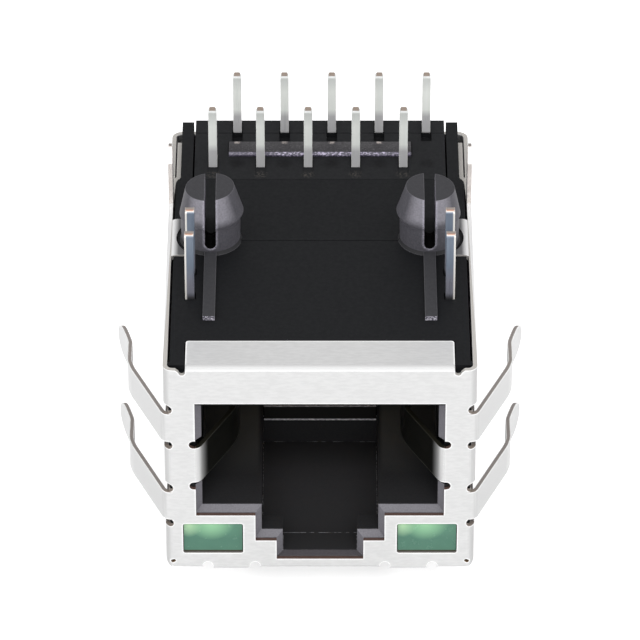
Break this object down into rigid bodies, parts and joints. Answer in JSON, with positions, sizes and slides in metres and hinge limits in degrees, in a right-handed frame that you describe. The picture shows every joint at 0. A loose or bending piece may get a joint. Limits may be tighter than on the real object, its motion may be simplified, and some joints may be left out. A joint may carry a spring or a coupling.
{
  "type": "rj45 board jack",
  "caption": "Shielded modular jack for a circuit board, with spring fingers, two lamps in the face, split posts and staggered pins on the board side.",
  "frame": {"origin": "centre of the footprint of the bounding box, at the level of the top wall's spring fingers", "axes": "-Y out of the plug mouth, +Z along the board pins, +X to the right when the mouth is seen from the front with the pins up"},
  "size_m": [0.0212, 0.0232, 0.0187],
  "materials": {
    "shield": "bright tinned sheet, finely brushed",
    "black_moulding": "fine matt moulded face",
    "case_moulding": "fine matt moulded face",
    "potting": "cast epoxy with a grainy sheen",
    "lens": "tinted translucent lens",
    "tinned_metal": "tinned wire and strip",
    "gold_plate": "gold-plated spring bronze",
    "laminate": "glass-fibre laminate under solder resist",
    "ferrite": "sintered ferrite",
    "copper_wire": "enamelled copper wire",
    "ceramic_body": "fired ceramic chip"
  },
  "bodies": {
    "root": {"shield_shell": "shield", "rear_cover": "shield", "front_housing": "black_moulding", "magnetics_case": "case_moulding", "potting_bead": "potting", "contact_insert": "black_moulding", "inner_board": "laminate", "isolation_capacitor": "ceramic_body", "left_lamp": "lens", "right_lamp": "lens", "left_front_lead": "tinned_metal", "left_rear_lead": "tinned_metal", "right_front_lead": "tinned_metal", "right_rear_lead": "tinned_metal", "board_pin_1": "tinned_metal", "board_pin_2": "tinned_metal", "board_pin_3": "tinned_metal", "board_pin_4": "tinned_metal", "board_pin_5": "tinned_metal", "board_pin_6": "tinned_metal", "board_pin_7": "tinned_metal", "board_pin_8": "tinned_metal", "board_pin_9": "tinned_metal", "board_pin_10": "tinned_metal", "contact_1": "gold_plate", "contact_2": "gold_plate", "contact_3": "gold_plate", "contact_4": "gold_plate", "contact_5": "gold_plate", "contact_6": "gold_plate", "contact_7": "gold_plate", "contact_8": "gold_plate", "ferrite_core_1": "ferrite", "ferrite_core_2": "ferrite", "ferrite_core_3": "ferrite", "ferrite_core_4": "ferrite", "ferrite_core_5": "ferrite", "ferrite_core_6": "ferrite", "ferrite_core_7": "ferrite", "ferrite_core_8": "ferrite", "winding_1": "copper_wire", "winding_2": "copper_wire", "winding_3": "copper_wire", "winding_4": "copper_wire", "winding_5": "copper_wire", "winding_6": "copper_wire", "winding_7": "copper_wire", "winding_8": "copper_wire", "resistor_1": "black_moulding", "resistor_2": "black_moulding", "resistor_3": "black_moulding", "resistor_4": "black_moulding"}
  },
  "joints": []
}
